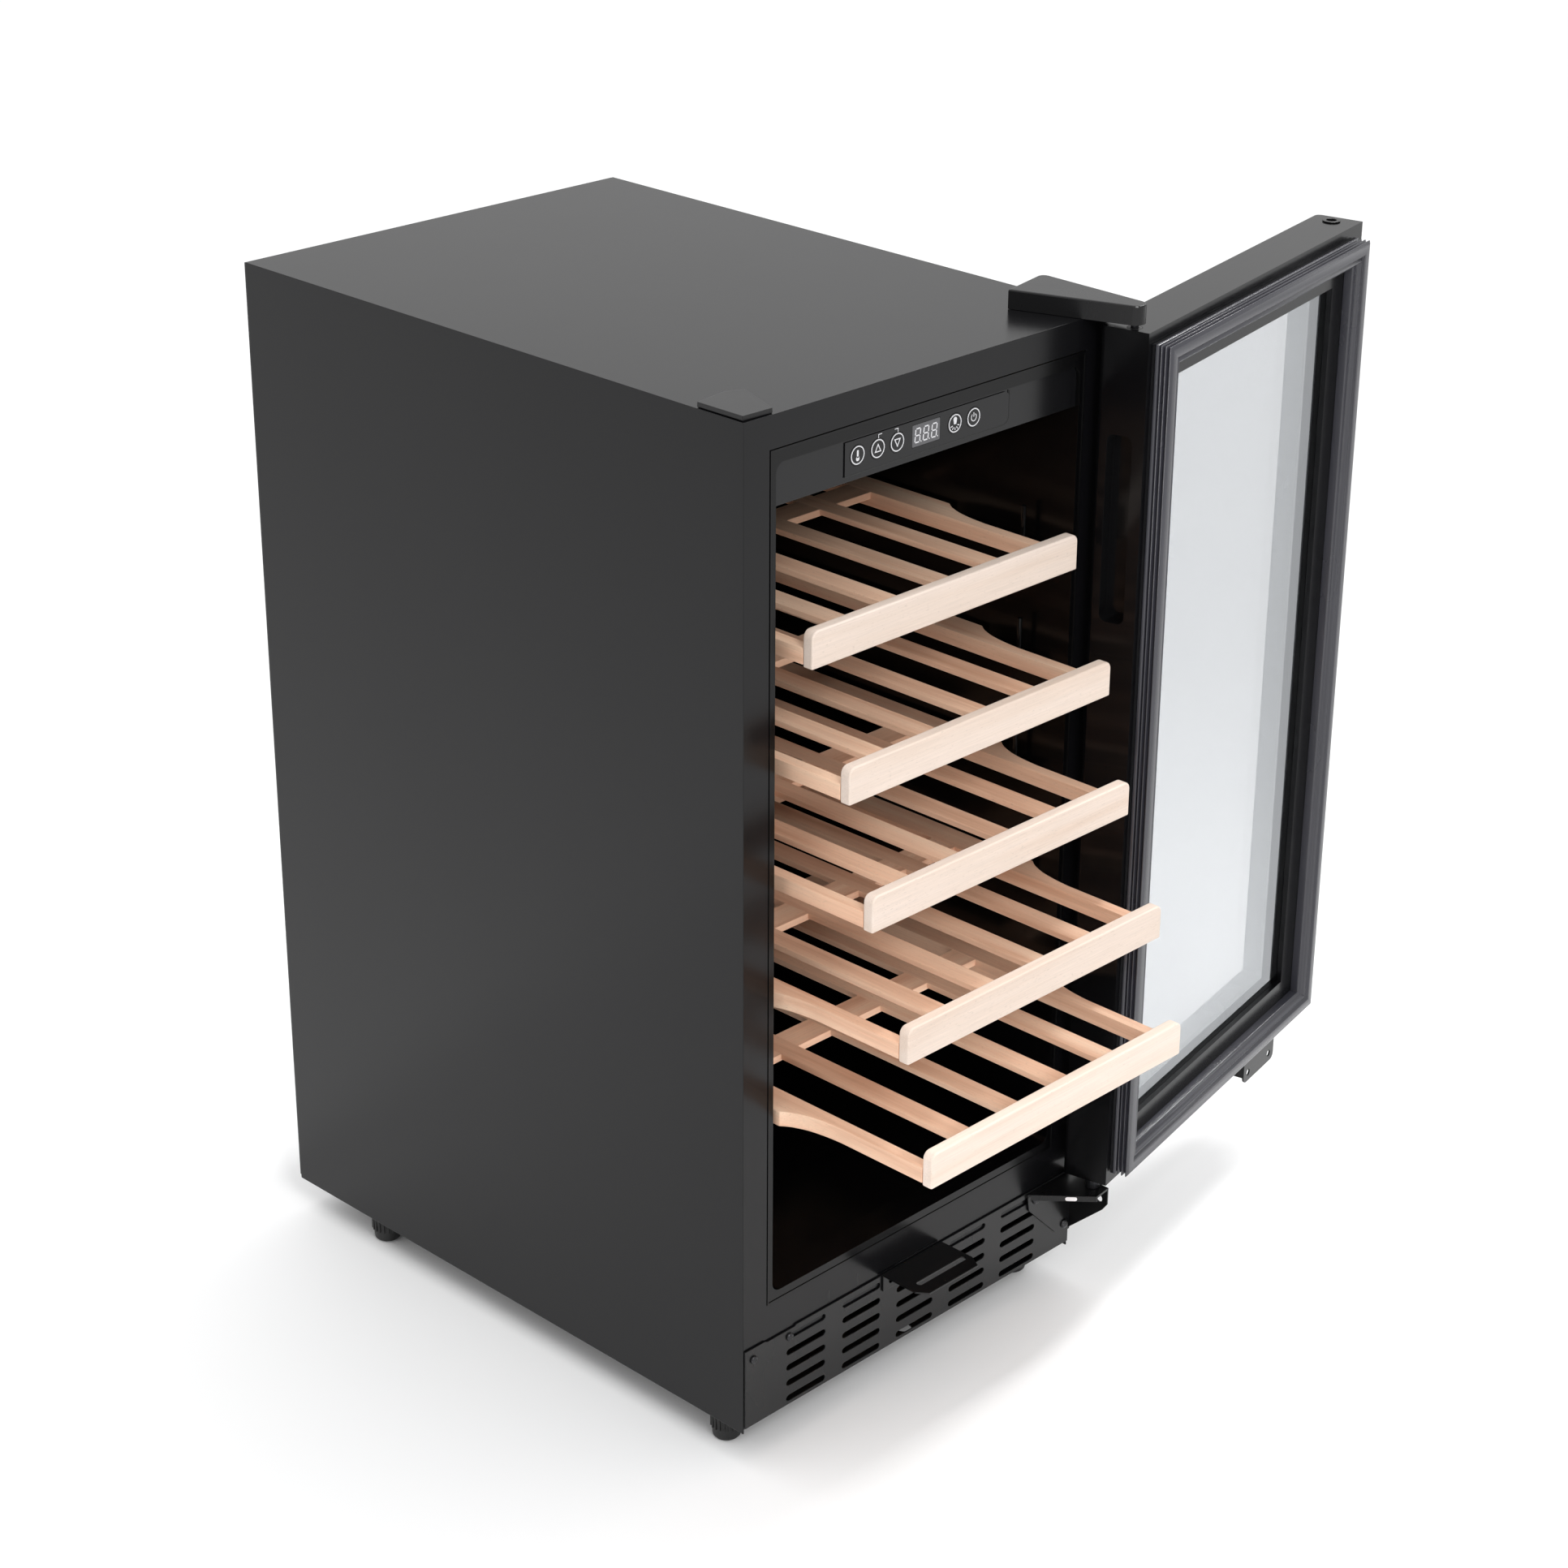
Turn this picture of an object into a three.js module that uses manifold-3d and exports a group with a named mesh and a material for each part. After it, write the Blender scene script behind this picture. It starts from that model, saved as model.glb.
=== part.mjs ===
// Freestanding single-zone wine cooler: sheet-steel cabinet with a moulded liner,
// a framed glass door swung wide open on its right-hand pins, five beech racks
// drawn out like stairs, a control strip over the opening and a slotted kick grille.
// Millimetres, +Z up. The front of the cabinet is the plane y = 0 and faces -Y,
// x = 0 is its left side and z = 0 the bottom edge of its sides.
import * as THREE from 'three';
import { mergeVertices } from 'three/addons/utils/BufferGeometryUtils.js';
import Module from 'manifold-3d';

const wasm = await Module();
wasm.setup();

// ---------------------------------------------------------------- dimensions
const WIDTH = 380;
const DEPTH = 539;
const HEIGHT = 805.8;
const FOOT_HEIGHT = 30;
const GAP = 0.3;
const SHEET = 1;
const BACK_SHEET = 1.2;

const BORDER = { left: 25, right: 355, bottom: 104, top: 781 };
const RAIL_BOTTOM = 60;
const OPENING = { left: 31, right: 349, bottom: 112.5, top: 770.5, radius: 8 };
const LINER_WALL = 3;
const LINER_BACK = 470;
const FLOOR_LIP = 27;
const FLOOR_Z = 108;
const HUMP_Y = 327;
const HUMP_Z = 235;

const FASCIA = { bottom: 738.5, front: 3 };
const PANEL = { left: 100.5, right: 272.5, bottom: 743, top: 768, front: 2.1, back: 2.7 };
const DISPLAY = { left: 168.8, right: 198.1, bottom: 748.2, top: 765 };
const KEY_Z = 756.5;
const KEY_RADIUS = 7.75;
const KEY_THICK = 0.8;
const KEYS = {
  key_temperature_unit: 113.1,
  key_up: 133.6,
  key_down: 153.5,
  key_light: 213.8,
  key_power: 233.8,
};

const GRILLE = { left: 1, right: 379, bottom: 5, top: 74, front: -1.7, back: -0.3 };
const DRAIN_HOLE = { x: 191.9, y: 11.4, radius: 6.5 };
const SLOT = { length: 43, height: 5.4, pitchX: 61.8, pitchZ: 13.95, topZ: 66.5, columns: 5, rows: 5 };

const AXIS = { x: 372, y: -31 };
const DOOR_ANGLE = THREE.MathUtils.degToRad(191.85);
const DOOR = { inner: -14.8, outer: -55.5, bottom: 82.5, top: 801.5 };
const DOOR_VIEW = { side: 52, end: 43.5 };
const GLASS_SEAT = { side: 22, end: 18, y: -19.4 };
const INNER_PANE = { front: -23.7, back: -19.7 };
const SPACER = { front: -33.7, back: -24, width: 9.7 };
const OUTER_PANE = { front: -38, back: -34 };
const BEZEL = { back: -38.3, width: 23.6 };
const GASKET = { left: 11.2, right: 368.8, bottom: 89, top: 790.5 };
const GRIP = { inner: -24.5, outer: -45.5, bottom: 571, top: 720, depth: 12, radius: 6 };
const HINGE_PLATE_TOP = 3.3;
const PLUG = { x: 14, y: -36.4 };

const SHELF_TOPS = [647.8, 556.6, 465.4, 374.2, 283];
const SHELF_FRONTS = [-18.2, -55.5, -79.4, -116.0, -141.4];
const BAR = { left: 49.1, right: 333, height: 28.3, thick: 9.5, corner: 6, edge: 2 };
const RACK = { drop: 14.5, rail: 12.5, slat: 5, cross: 6, slatWidth: 18.4, depth: 400 };
const RACK_BASE = RACK.drop + RACK.rail;
const SLAT_CENTRES = [108, 162, 218, 272];
const LEDGE = { reach: 16, thick: 6, front: 30, back: 430 };
const STOP_POST = { x: 340.3, y: 42, radius: 2, levels: 3, above: 5 };

const FOOT = { low: 11.6, high: 13.4, stud: 4, studTop: 12, studHole: 4.4 };
const FOOT_PLACES = [[22, 40], [358, 40], [22, 450], [358, 450]];
const DOOR_BRACKET = { left: 54.6, right: 115, bottom: 51, corner: 6, sheet: 1.5, front: -16.5, back: -30 };
const FOOT_NAMES = ['foot_front_left', 'foot_front_right', 'foot_rear_left', 'foot_rear_right'];

// ----------------------------------------------------------------- materials
function surface(color, roughness, metalness = 0) {
  return new THREE.MeshStandardMaterial({ color, roughness, metalness });
}

function glassSurface() {
  const glass = surface(0xc9d2d8, 0.05);
  glass.transparent = true;
  glass.opacity = 0.35;
  return glass;
}

const steelGrey = surface(0x3f3f43, 0.45, 0.3);
const blackPlastic = surface(0x1b1b1d, 0.4);
const glossBlack = surface(0x0c0c0e, 0.15);
const rubberGrey = surface(0x2b2b2d, 0.6);
const zinc = surface(0xb9bbbd, 0.35, 1);
const darkSteel = surface(0x2c2c2e, 0.5, 0.8);
const beech = surface(0xdcb48c, 0.6);
const beechPale = surface(0xf0d8c0, 0.6);
const foamYellow = surface(0xd9c98c, 0.9);
const copper = surface(0xb46a3c, 0.4, 1);
const boardGreen = surface(0x1f5a34, 0.6);
const lampWhite = surface(0xe8eef4, 0.4);
const tileGrey = surface(0x6a6d72, 0.3);
const clearGlass = glassSurface();

// ------------------------------------------------------------ solid helpers
function toSolid(geometry) {
  const bare = geometry.clone();
  bare.deleteAttribute('normal');
  bare.deleteAttribute('uv');
  const merged = mergeVertices(bare, 1e-3);
  const vertProperties = new Float32Array(merged.attributes.position.array);
  const triVerts = new Uint32Array(merged.index.array);
  return new wasm.Manifold(new wasm.Mesh({ numProp: 3, vertProperties, triVerts }));
}

function toGeometry(solid) {
  const mesh = solid.getMesh();
  const geometry = new THREE.BufferGeometry();
  geometry.setAttribute('position', new THREE.BufferAttribute(mesh.vertProperties, 3));
  geometry.setIndex(new THREE.BufferAttribute(mesh.triVerts, 1));
  geometry.computeVertexNormals();
  return geometry;
}

function join(...pieces) {
  return toGeometry(pieces.map(toSolid).reduce((sum, piece) => sum.add(piece)));
}

function cut(base, ...tools) {
  return toGeometry(tools.map(toSolid).reduce((left, tool) => left.subtract(tool), toSolid(base)));
}

// ------------------------------------------------------------ shape helpers
function block(x0, x1, y0, y1, z0, z1) {
  const box = new THREE.BoxGeometry(x1 - x0, y1 - y0, z1 - z0);
  return box.translate((x0 + x1) / 2, (y0 + y1) / 2, (z0 + z1) / 2);
}

function roundedRect(u0, u1, v0, v1, radius, target = new THREE.Shape()) {
  const turn = Math.PI / 2;
  target.moveTo(u0 + radius, v0);
  target.lineTo(u1 - radius, v0);
  target.absarc(u1 - radius, v0 + radius, radius, -turn, 0, false);
  target.absarc(u1 - radius, v1 - radius, radius, 0, turn, false);
  target.absarc(u0 + radius, v1 - radius, radius, turn, 2 * turn, false);
  target.absarc(u0 + radius, v0 + radius, radius, 2 * turn, 3 * turn, false);
  target.closePath();
  return target;
}

function outline(points) {
  const shape = new THREE.Shape();
  points.forEach(([u, v], i) => (i ? shape.lineTo(u, v) : shape.moveTo(u, v)));
  shape.closePath();
  return shape;
}

function extrude(shape, depth, segments) {
  return new THREE.ExtrudeGeometry(shape, { depth, bevelEnabled: false, curveSegments: segments });
}

// plan view shape (x, y) raised from z0 to z1
function raise(shape, z0, z1, segments = 6) {
  return extrude(shape, z1 - z0, segments).translate(0, 0, z0);
}

// front view shape (x, z) running from y0 back to y1
function runBack(shape, y0, y1, segments = 6) {
  return extrude(shape, y1 - y0, segments).rotateX(Math.PI / 2).translate(0, y1, 0);
}

// side view shape (y, z) running from x0 to x1
function runAcross(shape, x0, x1, segments = 6) {
  const turn = new THREE.Matrix4().makeBasis(
    new THREE.Vector3(0, 1, 0),
    new THREE.Vector3(0, 0, 1),
    new THREE.Vector3(1, 0, 0),
  );
  return extrude(shape, x1 - x0, segments).applyMatrix4(turn).translate(x0, 0, 0);
}

// profile [radius, z] spun about a vertical line through (x, y)
function spin(profile, x, y, segments = 16) {
  const points = profile.map(([radius, z]) => new THREE.Vector2(radius, z));
  return new THREE.LatheGeometry(points, segments).rotateX(Math.PI / 2).translate(x, y, 0);
}

// profile [radius, distance] spun about a line along Y that starts at (x, y, z) and runs forward
function spinForward(profile, x, y, z, segments = 16) {
  const points = profile.map(([radius, out]) => new THREE.Vector2(radius, out));
  return new THREE.LatheGeometry(points, segments).rotateX(Math.PI).translate(x, y, z);
}

function rodUp(x, y, z0, z1, radius, segments = 16) {
  return spin([[0, z0], [radius, z0], [radius, z1], [0, z1]], x, y, segments);
}

function rodForward(x, y, z, radius, length, segments = 16) {
  return spinForward([[0, 0], [radius, 0], [radius, length], [0, length]], x, y, z, segments);
}

// profile [inset, y] swept around a rectangle in the front view, with mitred corners
function mitredRing(profile, x0, x1, z0, z1) {
  const corners = [[0, 0], [1, 0], [1, 1], [0, 1]];
  const positions = [];
  for (const [inset, y] of profile) {
    for (const [right, up] of corners) {
      positions.push(right ? x1 - inset : x0 + inset, y, up ? z1 - inset : z0 + inset);
    }
  }
  const index = [];
  const count = profile.length;
  for (let i = 0; i < count; i += 1) {
    const next = (i + 1) % count;
    for (let side = 0; side < 4; side += 1) {
      const other = (side + 1) % 4;
      const a = i * 4 + side;
      const b = i * 4 + other;
      const c = next * 4 + other;
      const d = next * 4 + side;
      index.push(a, b, c, a, c, d);
    }
  }
  const ring = new THREE.BufferGeometry();
  ring.setAttribute('position', new THREE.Float32BufferAttribute(positions, 3));
  ring.setIndex(index);
  ring.computeVertexNormals();
  return ring;
}

function panHeadScrew(x, y, z, radius) {
  return spinForward([[0, 0], [radius, 0], [radius, 1], [radius * 0.7, 2], [0, 2.2]], x, y, z, 12);
}

// ------------------------------------------------------------------- cabinet
function cabinetWrap() {
  const face = outline([[0, RAIL_BOTTOM], [WIDTH, RAIL_BOTTOM], [WIDTH, HEIGHT], [0, HEIGHT]]);
  const hole = outline([
    [BORDER.left, BORDER.bottom],
    [BORDER.right, BORDER.bottom],
    [BORDER.right, BORDER.top],
    [BORDER.left, BORDER.top],
  ]);
  face.holes.push(hole);
  const back = DEPTH - BACK_SHEET - GAP;
  return join(
    runBack(face, 0, SHEET),
    block(0, SHEET, 0, back, 0, HEIGHT),
    block(WIDTH - SHEET, WIDTH, 0, back, 0, HEIGHT),
    block(0, WIDTH, 0, back, HEIGHT - SHEET, HEIGHT),
  );
}

function backPanel() {
  return block(0.5, WIDTH - 0.5, DEPTH - BACK_SHEET, DEPTH, HUMP_Z, HEIGHT - 0.5);
}

function machineCover() {
  const cover = block(0.5, WIDTH - 0.5, DEPTH - BACK_SHEET, DEPTH, 3, HUMP_Z - GAP);
  const louvres = [];
  for (let row = 0; row < 8; row += 1) {
    const z = 70 + row * 18;
    louvres.push(block(90, 180, DEPTH - 5, DEPTH + 5, z, z + 6));
    louvres.push(block(200, 290, DEPTH - 5, DEPTH + 5, z, z + 6));
  }
  return cut(cover, ...louvres, rodForward(60, DEPTH + 5, 40, 8.2, 12));
}

function cordGland() {
  const profile = [
    [4, -2], [12, -2], [12, -GAP], [7.7, -GAP], [7.7, 1.5], [10, 1.5], [10, 4], [4, 4], [4, -2],
  ];
  return spinForward(profile, 60, DEPTH, 40);
}

function basePan() {
  const plan = outline([
    [SHEET + GAP, 4],
    [WIDTH - SHEET - GAP, 4],
    [WIDTH - SHEET - GAP, DEPTH - BACK_SHEET - GAP],
    [SHEET + GAP, DEPTH - BACK_SHEET - GAP],
  ]);
  const left = block(SHEET + GAP, SHEET + GAP + 1.5, 4, DEPTH - BACK_SHEET - GAP, 0, 20);
  const right = block(WIDTH - SHEET - GAP - 1.5, WIDTH - SHEET - GAP, 4, DEPTH - BACK_SHEET - GAP, 0, 20);
  const studHoles = FOOT_PLACES.map(([x, y]) => rodUp(x, y, -5, 5, FOOT.studHole, 16));
  const drain = rodUp(DRAIN_HOLE.x, DRAIN_HOLE.y, -5, 5, DRAIN_HOLE.radius, 20);
  return cut(join(raise(plan, 0, 1.5), left, right), ...studHoles, drain);
}

function foot(x, y) {
  const rim = 1.4;
  const profile = [[0, -FOOT_HEIGHT], [FOOT.low - rim, -FOOT_HEIGHT], [FOOT.low, rim - FOOT_HEIGHT]];
  profile.push([FOOT.high, -2], [FOOT.high, -GAP], [FOOT.stud, -GAP]);
  profile.push([FOOT.stud, FOOT.studTop], [0, FOOT.studTop]);
  return spin(profile, x, y, 20);
}

function liner() {
  const w = LINER_WALL;
  const left = OPENING.left;
  const right = OPENING.right;
  const flange = block(
    BORDER.left + GAP, BORDER.right - GAP, 0, w, BORDER.bottom + GAP, BORDER.top - GAP,
  );
  const ridge = mitredRing(
    [[0, -0.6], [0, 0.5], [1.2, 0.5], [1.2, -0.6]].reverse(),
    BORDER.left + GAP, BORDER.right - GAP, BORDER.bottom + GAP, BORDER.top - GAP,
  );
  const tub = block(left - w, right + w, 1, HUMP_Y + w, FLOOR_Z - w, OPENING.top + w);
  const upper = block(left - w, right + w, HUMP_Y, LINER_BACK + w, HUMP_Z - w, OPENING.top + w);
  const mouth = roundedRect(left, right, OPENING.bottom, OPENING.top, OPENING.radius);
  const shell = cut(
    join(flange, ridge, tub, upper),
    runBack(mouth, -5, FLOOR_LIP + 1),
    block(left, right, FLOOR_LIP, HUMP_Y, FLOOR_Z, OPENING.top),
    block(left, right, HUMP_Y - 5, LINER_BACK, HUMP_Z, OPENING.top),
  );
  const fittings = [];
  SHELF_TOPS.forEach((top, level) => {
    const ledgeTop = top - RACK_BASE - 0.4;
    const span = [LEDGE.front, LEDGE.back, ledgeTop - LEDGE.thick, ledgeTop];
    fittings.push(block(left - 1, left + LEDGE.reach, ...span));
    fittings.push(block(right - LEDGE.reach, right + 1, ...span));
    if (level < STOP_POST.levels) {
      const low = ledgeTop - 2;
      const high = top + STOP_POST.above;
      fittings.push(rodUp(STOP_POST.x, STOP_POST.y, low, high, STOP_POST.radius, 12));
      fittings.push(rodUp(WIDTH - STOP_POST.x, STOP_POST.y, low, high, STOP_POST.radius, 12));
    }
  });
  return join(shell, ...fittings);
}

function foam() {
  const w = LINER_WALL + GAP;
  const side = SHEET + GAP;
  const top = HEIGHT - SHEET - GAP;
  const back = DEPTH - BACK_SHEET - GAP;
  const left = OPENING.left - w;
  const right = OPENING.right + w;
  return cut(
    join(
      block(side, WIDTH - side, LINER_WALL + GAP, 345, 90, top),
      block(side, WIDTH - side, 340, back, 213, top),
    ),
    block(left, right, 0, HUMP_Y + w, FLOOR_Z - w, OPENING.top + w),
    block(left, right, HUMP_Y - 5, LINER_BACK + w, HUMP_Z - w, OPENING.top + w),
  );
}

// -------------------------------------------------------------- control strip
function controlFascia() {
  const left = OPENING.left + GAP;
  const right = OPENING.right - GAP;
  const top = OPENING.top - GAP;
  const radius = OPENING.radius;
  const front = new THREE.Shape();
  front.moveTo(left, FASCIA.bottom);
  front.lineTo(right, FASCIA.bottom);
  front.absarc(right - radius, top - radius, radius, 0, Math.PI / 2, false);
  front.absarc(left + radius, top - radius, radius, Math.PI / 2, Math.PI, false);
  front.closePath();
  const y = FASCIA.front;
  return join(
    runBack(front, y, y + 2.5),
    block(left, right, y + 1, 60, FASCIA.bottom, FASCIA.bottom + 2),
    block(left, right, 58, 60, FASCIA.bottom, top),
  );
}

function controlPanel() {
  const radius = 6;
  const face = new THREE.Shape();
  face.moveTo(PANEL.left, PANEL.bottom);
  face.lineTo(PANEL.right - radius, PANEL.bottom);
  face.absarc(PANEL.right - radius, PANEL.bottom + radius, radius, -Math.PI / 2, 0, false);
  face.absarc(PANEL.right - radius, PANEL.top - radius, radius, 0, Math.PI / 2, false);
  face.lineTo(PANEL.left, PANEL.top);
  face.closePath();
  for (const x of Object.values(KEYS)) {
    face.holes.push(new THREE.Path().absarc(x, KEY_Z, KEY_RADIUS + GAP, 0, 2 * Math.PI, true));
  }
  const windowHole = roundedRect(
    DISPLAY.left, DISPLAY.right, DISPLAY.bottom, DISPLAY.top, 1, new THREE.Path(),
  );
  face.holes.push(windowHole);
  return runBack(face, PANEL.front, PANEL.back, 8);
}

function displayWindow() {
  const g = GAP;
  const pane = roundedRect(
    DISPLAY.left + g, DISPLAY.right - g, DISPLAY.bottom + g, DISPLAY.top - g, 0.8,
  );
  return runBack(pane, PANEL.front - 0.1, PANEL.back, 3);
}

function touchKey(x) {
  return rodForward(x, PANEL.back, KEY_Z, KEY_RADIUS, KEY_THICK, 16);
}

function controlBoard() {
  return block(108, 264, 9, 10.6, 743, 767);
}

function lightBar() {
  const face = roundedRect(140, 240, 761, OPENING.top - GAP, 2);
  return runBack(face, 64, 78, 3);
}

// ------------------------------------------------------------- cooling pieces
function fanCover() {
  const left = 110;
  const right = 270;
  const shell = block(left, right, 438, LINER_BACK - GAP, 610, 750);
  const hollow = block(left + 2, right - 2, 440, LINER_BACK + 5, 612, 748);
  const slots = [];
  for (let row = 0; row < 9; row += 1) {
    const z = 636 + row * 10;
    slots.push(block(145, 235, 430, 441, z, z + 5));
  }
  const vents = [
    block(left + 20, right - 20, 445, 465, 600, 615),
    block(left + 20, right - 20, 445, 465, 745, 760),
  ];
  return cut(shell, hollow, ...slots, ...vents);
}

function circulationFan() {
  const centre = { x: 190, y: 456, z: 680 };
  const hub = rodForward(centre.x, centre.y, centre.z, 11, 11);
  const blades = [];
  for (let i = 0; i < 7; i += 1) {
    const blade = new THREE.BoxGeometry(12, 1.4, 32);
    blade.rotateZ(0.5);
    blade.translate(0, 0, 24);
    blade.rotateY((i * 2 * Math.PI) / 7);
    blade.translate(centre.x, centre.y - 5.5, centre.z);
    blades.push(blade);
  }
  return join(hub, ...blades);
}

function fanMotor() {
  const profile = [[0, 0], [19, 0], [19, 10], [4, 10], [4, 13], [0, 13]];
  return spinForward(profile, 190, LINER_BACK - GAP, 680);
}

function compressor() {
  const lower = [[0, 20], [50, 20], [60, 32], [62, 60], [66, 61], [66, 65]];
  const upper = [[62, 66], [60, 110], [48, 132], [25, 141], [0, 143]];
  const body = spin([...lower, ...upper], 235, 445, 18);
  const plate = block(165, 305, 400, 490, 12, 22);
  const mountPlaces = [[178, 412], [292, 412], [178, 478], [292, 478]];
  const mounts = mountPlaces.map(([x, y]) => rodUp(x, y, 1.8, 14, 8, 14));
  return join(body, plate, ...mounts);
}

function drainTray() {
  const outer = block(150, 320, 390, 500, 150, 172);
  return cut(outer, block(152, 318, 392, 498, 152, 175));
}

function condenserCoil() {
  const turns = 7;
  const path = new THREE.CurvePath();
  const z = 45;
  const xLeft = 60;
  const xRight = 320;
  const y0 = 60;
  const step = 32;
  for (let i = 0; i < turns; i += 1) {
    const y = y0 + i * step;
    const start = i % 2 ? xRight : xLeft;
    const end = i % 2 ? xLeft : xRight;
    path.add(new THREE.LineCurve3(new THREE.Vector3(start, y, z), new THREE.Vector3(end, y, z)));
    if (i < turns - 1) {
      const swing = (i % 2 ? -1 : 1) * step * 0.66;
      path.add(new THREE.CubicBezierCurve3(
        new THREE.Vector3(end, y, z),
        new THREE.Vector3(end + swing, y, z),
        new THREE.Vector3(end + swing, y + step, z),
        new THREE.Vector3(end, y + step, z),
      ));
    }
  }
  const section = new THREE.Shape().absarc(0, 0, 3, 0, 2 * Math.PI, false);
  return new THREE.ExtrudeGeometry(section, { steps: 64, curveSegments: 3, extrudePath: path });
}

// ------------------------------------------------------------------ kick area
function kickGrille() {
  const face = outline([
    [GRILLE.left, GRILLE.bottom],
    [GRILLE.right, GRILLE.bottom],
    [GRILLE.right, GRILLE.top],
    [56, GRILLE.top],
    [54, GRILLE.top - 1.2],
    [24, GRILLE.top - 1.2],
    [22, GRILLE.top],
    [GRILLE.left, GRILLE.top],
  ]);
  const half = SLOT.length / 2;
  const radius = SLOT.height / 2;
  for (let column = 0; column < SLOT.columns; column += 1) {
    const x = WIDTH / 2 + (column - 2) * SLOT.pitchX;
    for (let row = 0; row < SLOT.rows; row += 1) {
      const z = SLOT.topZ - row * SLOT.pitchZ;
      const slot = new THREE.Path();
      slot.absarc(x + half - radius, z, radius, -Math.PI / 2, Math.PI / 2, false);
      slot.absarc(x - half + radius, z, radius, Math.PI / 2, 1.5 * Math.PI, false);
      slot.closePath();
      face.holes.push(slot);
    }
  }
  return runBack(face, GRILLE.front, GRILLE.back, 2);
}

function centreBracket() {
  const plan = outline([[151, -2], [151, -37], [158, -46], [214, -46], [220, -35], [220, -2]]);
  const slotHole = new THREE.Path();
  slotHole.absarc(213, -31, 2.5, -Math.PI / 2, Math.PI / 2, false);
  slotHole.absarc(163, -31, 2.5, Math.PI / 2, 1.5 * Math.PI, false);
  slotHole.closePath();
  plan.holes.push(slotHole);
  const leg = outline([[151, 60], [170, 60], [170, 75], [151, 75]]);
  leg.holes.push(new THREE.Path().absarc(160, 67, 2.6, 0, 2 * Math.PI, true));
  return join(raise(plan, 73.5, 75), runBack(leg, -3.5, -2));
}

function hingeBracket() {
  const plan = outline([[323, -2], [325, -5], [361, -45], [377, -43], [378.6, -41], [378.6, -2]]);
  plan.holes.push(new THREE.Path().absarc(AXIS.x, AXIS.y, 4.3, 0, 2 * Math.PI, true));
  const lip = outline([[326.4, -5], [325, -5], [361, -45], [362.4, -45]]);
  const face = outline([[323, 73.5], [325.5, 57.6], [360.7, 22], [372, 18], [378.6, 18], [378.6, 73.5]]);
  face.holes.push(new THREE.Path().absarc(333.5, 65.5, 2.6, 0, 2 * Math.PI, true));
  face.holes.push(new THREE.Path().absarc(371.5, 26, 2.6, 0, 2 * Math.PI, true));
  const side = outline([[-2, 73.5], [-43, 73.5], [-43, 58], [-38, 51], [-6, 22], [-2, 18]]);
  side.holes.push(new THREE.Path().absarc(-34.5, 61, 3.4, 0, 2 * Math.PI, true));
  return join(
    raise(plan, 71.5, 73.5),
    raise(lip, 68.5, 72.5),
    runBack(face, -3.5, -2),
    runAcross(side, 377.3, 378.6),
  );
}

function bottomPin() {
  const head = [[0, 68.5], [4.6, 68.5], [4.6, 71.2], [4, 71.2], [4, 73.8]];
  const shaft = [[6, 73.8], [6, 81.9], [4, 81.9], [4, 94], [3, 95], [0, 95]];
  return spin([...head, ...shaft], AXIS.x, AXIS.y);
}

// ------------------------------------------------------------------ top pieces
function hingeCoverOutline(inset) {
  const shape = new THREE.Shape();
  const tip = { x: 369.4, y: -32.6, radius: 8.3 - inset };
  const lean = THREE.MathUtils.degToRad(193);
  shape.absarc(tip.x, tip.y, tip.radius, lean, 2 * Math.PI, false);
  shape.absarc(373, 58, 6 - inset, 0, Math.PI / 2, false);
  shape.lineTo(328.5 + inset * 1.3, 55 - inset);
  shape.closePath();
  return shape;
}

function topHingeCover() {
  const bevel = 1.2;
  const rise = 14.8;
  const body = new THREE.ExtrudeGeometry(hingeCoverOutline(bevel), {
    depth: rise - bevel,
    bevelThickness: bevel,
    bevelSize: bevel,
    bevelSegments: 2,
    curveSegments: 6,
  }).translate(0, 0, HEIGHT + GAP);
  const below = block(300, 400, -80, 100, HEIGHT - 10, HEIGHT + GAP);
  return cut(body, below, raise(hingeCoverOutline(1.1), HEIGHT - 1, HEIGHT + rise - 1.3));
}

function topHingePlate() {
  const plan = hingeCoverOutline(1.5);
  plan.holes.push(new THREE.Path().absarc(AXIS.x, AXIS.y, 3.4, 0, 2 * Math.PI, true));
  return raise(plan, HEIGHT + GAP, HEIGHT + HINGE_PLATE_TOP);
}

function topPin() {
  const headLow = HEIGHT + HINGE_PLATE_TOP + GAP;
  const headTop = headLow + 2.4;
  return spin(
    [[0, 786], [2.4, 786], [3, 787], [3, headLow], [4, headLow], [4, headTop], [0, headTop]],
    AXIS.x, AXIS.y,
  );
}

function topLeftCap() {
  const plan = outline([[2, 3], [29.5, 2], [45, 43.5], [31.5, 50], [1.5, 46]]);
  return raise(plan, HEIGHT + GAP, HEIGHT + 4);
}

// ------------------------------------------------------------------------ door
function openDoor(geometry) {
  return geometry
    .translate(-AXIS.x, -AXIS.y, 0)
    .rotateZ(DOOR_ANGLE)
    .translate(AXIS.x, AXIS.y, 0);
}

function gripPocket(x0, x1) {
  const side = roundedRect(GRIP.outer, GRIP.inner, GRIP.bottom, GRIP.top, GRIP.radius);
  return runAcross(side, x0, x1, 4);
}

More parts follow.
